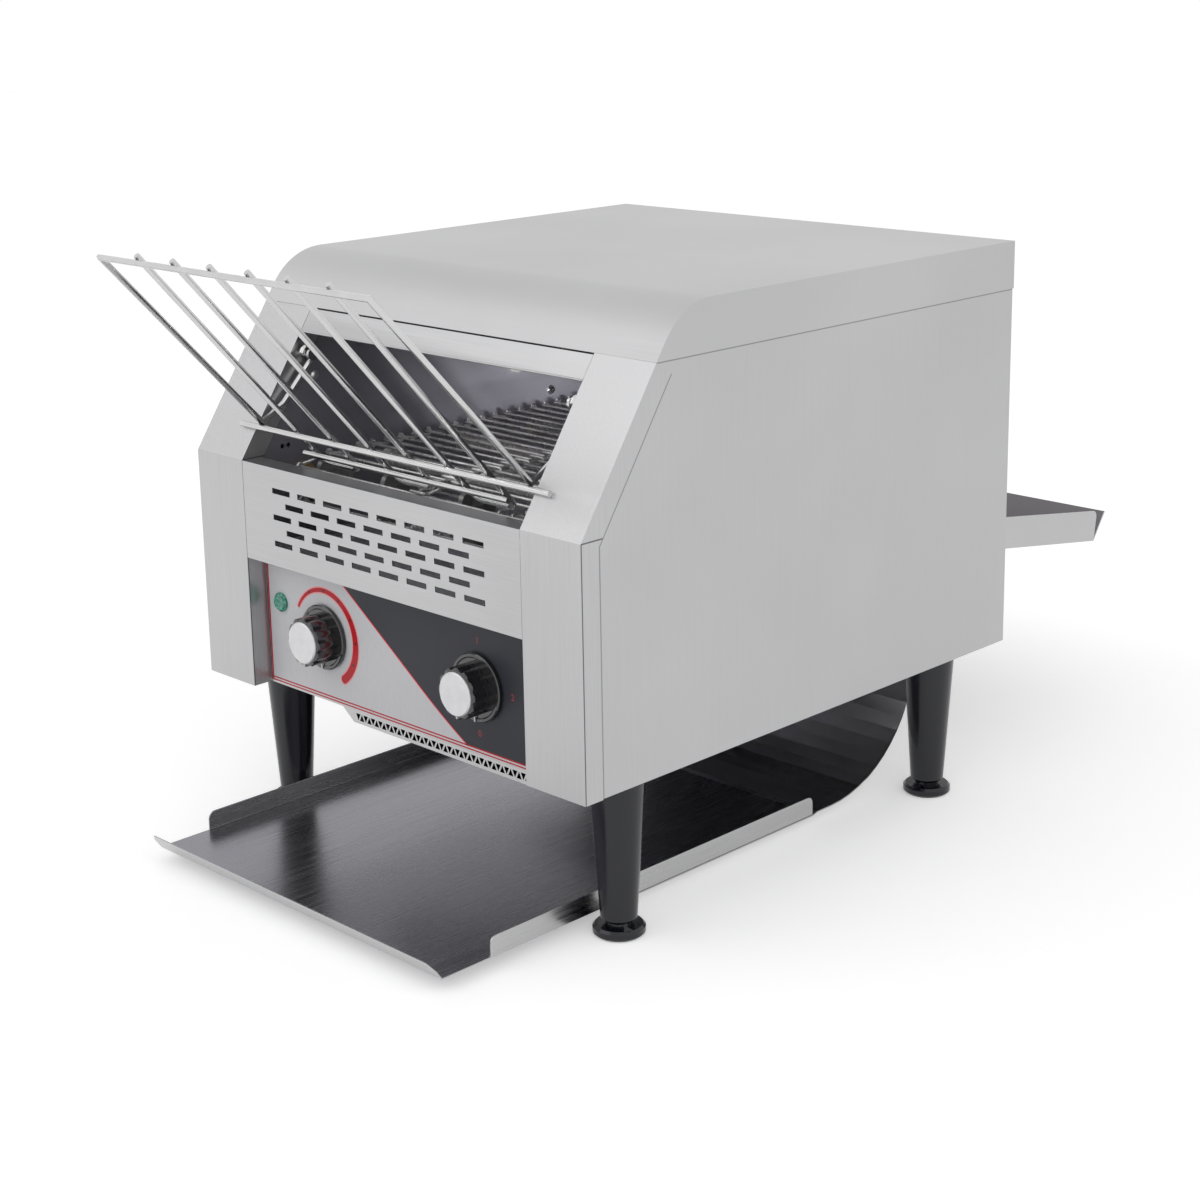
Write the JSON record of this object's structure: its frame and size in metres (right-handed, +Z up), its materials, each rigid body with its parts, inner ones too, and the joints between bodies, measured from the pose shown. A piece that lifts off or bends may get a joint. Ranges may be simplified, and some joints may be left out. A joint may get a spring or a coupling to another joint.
{
  "type": "conveyor toaster",
  "caption": "Counter-top conveyor toaster with wire loading rack, wire belt, control panel, slide-out trays and tapered legs.",
  "frame": {"origin": "under the middle of the whole part's box, on the surface that the feet stand on", "axes": "+Z up, +Y from the front control panel to the back, +X to the right as seen from the front"},
  "size_m": [0.368, 0.7318, 0.4114],
  "materials": {
    "casing_steel": "satin brushed",
    "tray_steel": "glossy rolled",
    "inner_steel": "heat darkened",
    "belt_wire": "heat darkened wire",
    "rack_chrome": "bright plated",
    "bright_steel": "turned",
    "drive_steel": "oiled",
    "bush_brass": "turned",
    "motor_paint": "satin",
    "quartz": "clear quartz",
    "holder_ceramic": "unglazed",
    "black_plastic": "matte",
    "lamp_lens": "tinted",
    "label_film": "printed film, satin",
    "knob_plastic": "gloss",
    "knob_silver": "spun",
    "leg_plastic": "gloss moulded"
  },
  "bodies": {
    "housing": {"back_panel": "casing_steel", "bottom_plate": "tray_steel", "casing_screws": "bright_steel", "control_box_cover": "inner_steel", "control_panel": "casing_steel", "conveyor_belt": "belt_wire", "cord_gland": "black_plastic", "crossbar": "casing_steel", "crumb_runners": "inner_steel", "drive_chain": "drive_steel", "fan_frame": "black_plastic", "gear_motor": "motor_paint", "heater_holders": "holder_ceramic", "heating_elements": "quartz", "hood": "casing_steel", "intake_guard": "tray_steel", "left_front_post": "casing_steel", "left_inner_wall": "inner_steel", "left_side_panel": "casing_steel", "leg_front_left": "leg_plastic", "leg_front_right": "leg_plastic", "leg_nuts": "bright_steel", "leg_rear_left": "leg_plastic", "leg_rear_right": "leg_plastic", "panel_label": "label_film", "pilot_lamp_body": "black_plastic", "pilot_lamp_lens": "lamp_lens", "rack_pins": "rack_chrome", "right_front_post": "casing_steel", "right_inner_wall": "inner_steel", "right_side_panel": "casing_steel", "rotary_switch": "black_plastic", "shaft_bushes": "bush_brass", "speed_regulator": "black_plastic", "terminal_block": "black_plastic", "toast_chute": "tray_steel", "top_reflector": "inner_steel", "vent_panel": "casing_steel"},
    "drive_shaft_set": {"drive_shaft": "bright_steel", "drive_sprockets": "drive_steel", "driven_chain_wheel": "drive_steel"},
    "idler_shaft_set": {"idler_shaft": "bright_steel", "idler_sprockets": "drive_steel"},
    "motor_output": {"motor_shaft": "bright_steel", "motor_chain_wheel": "drive_steel"},
    "fan_blades": {"fan_rotor": "black_plastic"},
    "speed_knob_set": {"speed_knob": "knob_plastic", "speed_knob_cap": "knob_silver", "speed_spindle": "bright_steel"},
    "power_knob_set": {"power_knob": "knob_plastic", "power_knob_cap": "knob_silver", "power_spindle": "bright_steel"},
    "toast_tray": {"toast_tray": "tray_steel"},
    "crumb_tray": {"crumb_tray": "tray_steel"},
    "loading_rack": {"rack_frame": "rack_chrome", "rack_wires": "rack_chrome"},
    "foot_front_left": {"foot_front_left": "leg_plastic"},
    "foot_rear_left": {"foot_rear_left": "leg_plastic"},
    "foot_front_right": {"foot_front_right": "leg_plastic"},
    "foot_rear_right": {"foot_rear_right": "leg_plastic"}
  },
  "joints": [
    {"name": "drive_turn", "type": "hinge", "parent": "housing", "child": "drive_shaft_set", "pos_m": [0, -0.21467, 0.23939], "axis": [-1, 0, 0], "continuous": true, "deforming": ["conveyor_belt", "drive_chain"]},
    {"name": "idler_turn", "type": "hinge", "parent": "housing", "child": "idler_shaft_set", "pos_m": [0, 0.07743, 0.23939], "axis": [-1, 0, 0], "continuous": true},
    {"name": "motor_turn", "type": "hinge", "parent": "housing", "child": "motor_output", "pos_m": [0.148, -0.16067, 0.15342], "axis": [-1, 0, 0], "continuous": true},
    {"name": "fan_turn", "type": "hinge", "parent": "housing", "child": "fan_blades", "pos_m": [-0.03618, -0.19067, 0.115], "axis": [0, 0, 1], "continuous": true},
    {"name": "speed_turn", "type": "hinge", "parent": "housing", "child": "speed_knob_set", "pos_m": [-0.072, -0.25467, 0.148], "axis": [0, 1, 0], "range_deg": [0, 300]},
    {"name": "power_turn", "type": "hinge", "parent": "housing", "child": "power_knob_set", "pos_m": [0.078, -0.25467, 0.148], "axis": [0, 1, 0], "range_deg": [-180, 0]},
    {"name": "toast_tray_slide", "type": "slide", "parent": "housing", "child": "toast_tray", "axis": [0, -1, 0], "range_m": [0, 0.12]},
    {"name": "crumb_tray_slide", "type": "slide", "parent": "housing", "child": "crumb_tray", "axis": [0, 0.9881, -0.1538], "range_m": [-0.15, 0.015]},
    {"name": "rack_lift", "type": "hinge", "parent": "housing", "child": "loading_rack", "pos_m": [0, -0.21005, 0.32452], "axis": [-1, 0, 0], "range_deg": [0, 80]},
    {"name": "foot_turn_front_left", "type": "hinge", "parent": "housing", "child": "foot_front_left", "pos_m": [-0.16, -0.21467, 0.013], "axis": [0, 0, 1], "range_deg": [0, 720]},
    {"name": "foot_turn_rear_left", "type": "hinge", "parent": "housing", "child": "foot_rear_left", "pos_m": [-0.16, 0.09733, 0.013], "axis": [0, 0, 1], "range_deg": [0, 720]},
    {"name": "foot_turn_front_right", "type": "hinge", "parent": "housing", "child": "foot_front_right", "pos_m": [0.16, -0.21467, 0.013], "axis": [0, 0, 1], "range_deg": [0, 720]},
    {"name": "foot_turn_rear_right", "type": "hinge", "parent": "housing", "child": "foot_rear_right", "pos_m": [0.16, 0.09733, 0.013], "axis": [0, 0, 1], "range_deg": [0, 720]}
  ],
  "couplings": [
    {"joint": "idler_turn", "follows": "drive_turn", "ratio": 1},
    {"joint": "motor_turn", "follows": "drive_turn", "ratio": 1.3333}
  ]
}
